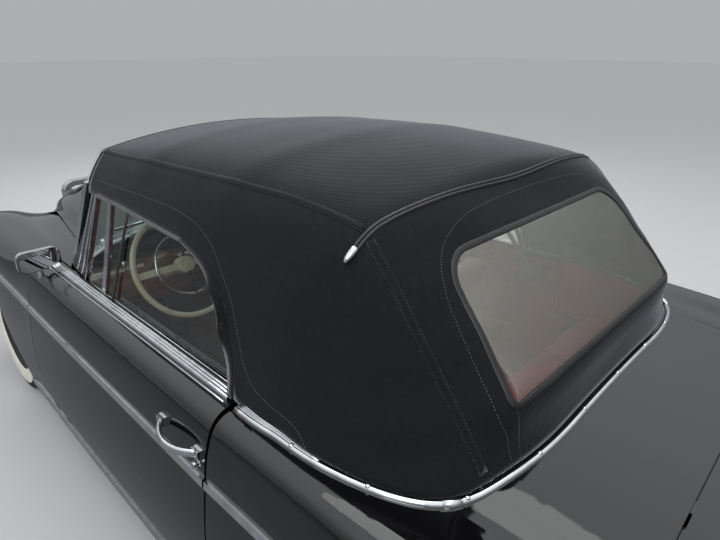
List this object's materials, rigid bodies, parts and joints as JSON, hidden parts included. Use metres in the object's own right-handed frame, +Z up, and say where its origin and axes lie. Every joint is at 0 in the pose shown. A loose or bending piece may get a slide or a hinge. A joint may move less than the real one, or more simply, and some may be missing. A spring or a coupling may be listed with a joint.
{
  "type": "1950s convertible car",
  "caption": "Two-door convertible of the 1950s with its fabric top up: hinged doors, bonnet and boot lid, steered front wheels, turning wheels and steering wheel.",
  "frame": {"origin": "on the ground, at the middle of the overall length and width", "axes": "+X forward, +Y to the car's left, +Z up"},
  "size_m": [4.67, 1.785, 1.504],
  "materials": {
    "body_paint": "glossy black cellulose enamel, polished",
    "black_underbody": "satin black stove enamel",
    "chrome": "bright nickel and chromium plate",
    "glass": "flat clear safety glass",
    "clear_sheet": "clear flexible vinyl sheet",
    "top_cloth": "charcoal black woven canvas",
    "grey_steel": "grey painted or bare pressed steel",
    "lamp_glass": "clear pressed lens",
    "red_lens": "red moulded lens",
    "wood_veneer": "varnished walnut veneer",
    "ivory_plastic": "ivory moulded plastic",
    "red_leather": "red upholstery leather",
    "cast_iron": "cast and machined iron, painted",
    "tyre": "black rubber with a white sidewall band",
    "wheel_paint": "black enamelled steel disc with a chromed cap"
  },
  "bodies": {
    "body_shell": {"floor_pan": "black_underbody", "front_wings": "body_paint", "front_apron": "body_paint", "scuttle": "body_paint", "quarter_panels": "body_paint", "boot_tub": "body_paint", "windscreen_frame": "chrome", "windscreen_glass": "glass", "top_fabric": "top_cloth", "rear_window": "clear_sheet", "top_frame": "grey_steel", "top_bead": "chrome", "side_trim": "chrome", "headlamps": "lamp_glass", "tail_lamps": "red_lens", "bumpers": "chrome", "dashboard": "wood_veneer", "steering_column": "ivory_plastic", "front_seats": "red_leather", "rear_seat": "red_leather", "engine": "cast_iron", "front_subframe": "grey_steel", "rear_axle": "cast_iron", "exhaust": "grey_steel", "fuel_tank": "black_underbody"},
    "bonnet": {"bonnet": "body_paint", "grille": "chrome"},
    "boot_lid": {"boot_lid": "body_paint"},
    "steering_wheel": {"steering_wheel": "ivory_plastic"},
    "door_left": {"door_left": "body_paint", "door_chrome_left": "chrome", "door_glass_left": "glass"},
    "knuckle_left": {"knuckle_left": "cast_iron"},
    "wheel_front_left": {"tyre_front_left": "tyre", "wheel_front_left": "wheel_paint"},
    "wheel_rear_left": {"tyre_rear_left": "tyre", "wheel_rear_left": "wheel_paint"},
    "door_right": {"door_right": "body_paint", "door_chrome_right": "chrome", "door_glass_right": "glass"},
    "knuckle_right": {"knuckle_right": "cast_iron"},
    "wheel_front_right": {"tyre_front_right": "tyre", "wheel_front_right": "wheel_paint"},
    "wheel_rear_right": {"tyre_rear_right": "tyre", "wheel_rear_right": "wheel_paint"}
  },
  "joints": [
    {"name": "steer_left", "type": "hinge", "parent": "body_shell", "child": "knuckle_left", "pos_m": [1.545, 0.655, 0.326], "axis": [0, 0, 1], "range_deg": [-32, 32]},
    {"name": "spin_front_left", "type": "hinge", "parent": "knuckle_left", "child": "wheel_front_left", "pos_m": [1.545, 0.715, 0.326], "axis": [0, 1, 0], "continuous": true},
    {"name": "spin_rear_left", "type": "hinge", "parent": "body_shell", "child": "wheel_rear_left", "pos_m": [-1.155, 0.735, 0.326], "axis": [0, 1, 0], "continuous": true},
    {"name": "door_left", "type": "hinge", "parent": "body_shell", "child": "door_left", "pos_m": [0.77, 0.872, 0.6], "axis": [0, 0, -1], "range_deg": [0, 65]},
    {"name": "steer_right", "type": "hinge", "parent": "body_shell", "child": "knuckle_right", "pos_m": [1.545, -0.655, 0.326], "axis": [0, 0, 1], "range_deg": [-32, 32]},
    {"name": "spin_front_right", "type": "hinge", "parent": "knuckle_right", "child": "wheel_front_right", "pos_m": [1.545, -0.715, 0.326], "axis": [0, 1, 0], "continuous": true},
    {"name": "spin_rear_right", "type": "hinge", "parent": "body_shell", "child": "wheel_rear_right", "pos_m": [-1.155, -0.735, 0.326], "axis": [0, 1, 0], "continuous": true},
    {"name": "door_right", "type": "hinge", "parent": "body_shell", "child": "door_right", "pos_m": [0.77, -0.872, 0.6], "axis": [0, 0, 1], "range_deg": [0, 65]},
    {"name": "steering_wheel_turn", "type": "hinge", "parent": "body_shell", "child": "steering_wheel", "pos_m": [0.35, 0.37, 0.95], "axis": [-0.8829, 0, 0.4695], "range_deg": [-544, 544]},
    {"name": "bonnet", "type": "hinge", "parent": "body_shell", "child": "bonnet", "pos_m": [0.905, 0, 1.012], "axis": [0, -1, 0], "range_deg": [0, 50]},
    {"name": "boot_lid", "type": "hinge", "parent": "body_shell", "child": "boot_lid", "pos_m": [-1.449, 0, 0.95], "axis": [0, 1, 0], "range_deg": [0, 70]}
  ],
  "couplings": [
    {"joint": "steer_right", "follows": "steer_left", "ratio": 1},
    {"joint": "steering_wheel_turn", "follows": "steer_left", "ratio": 17}
  ]
}
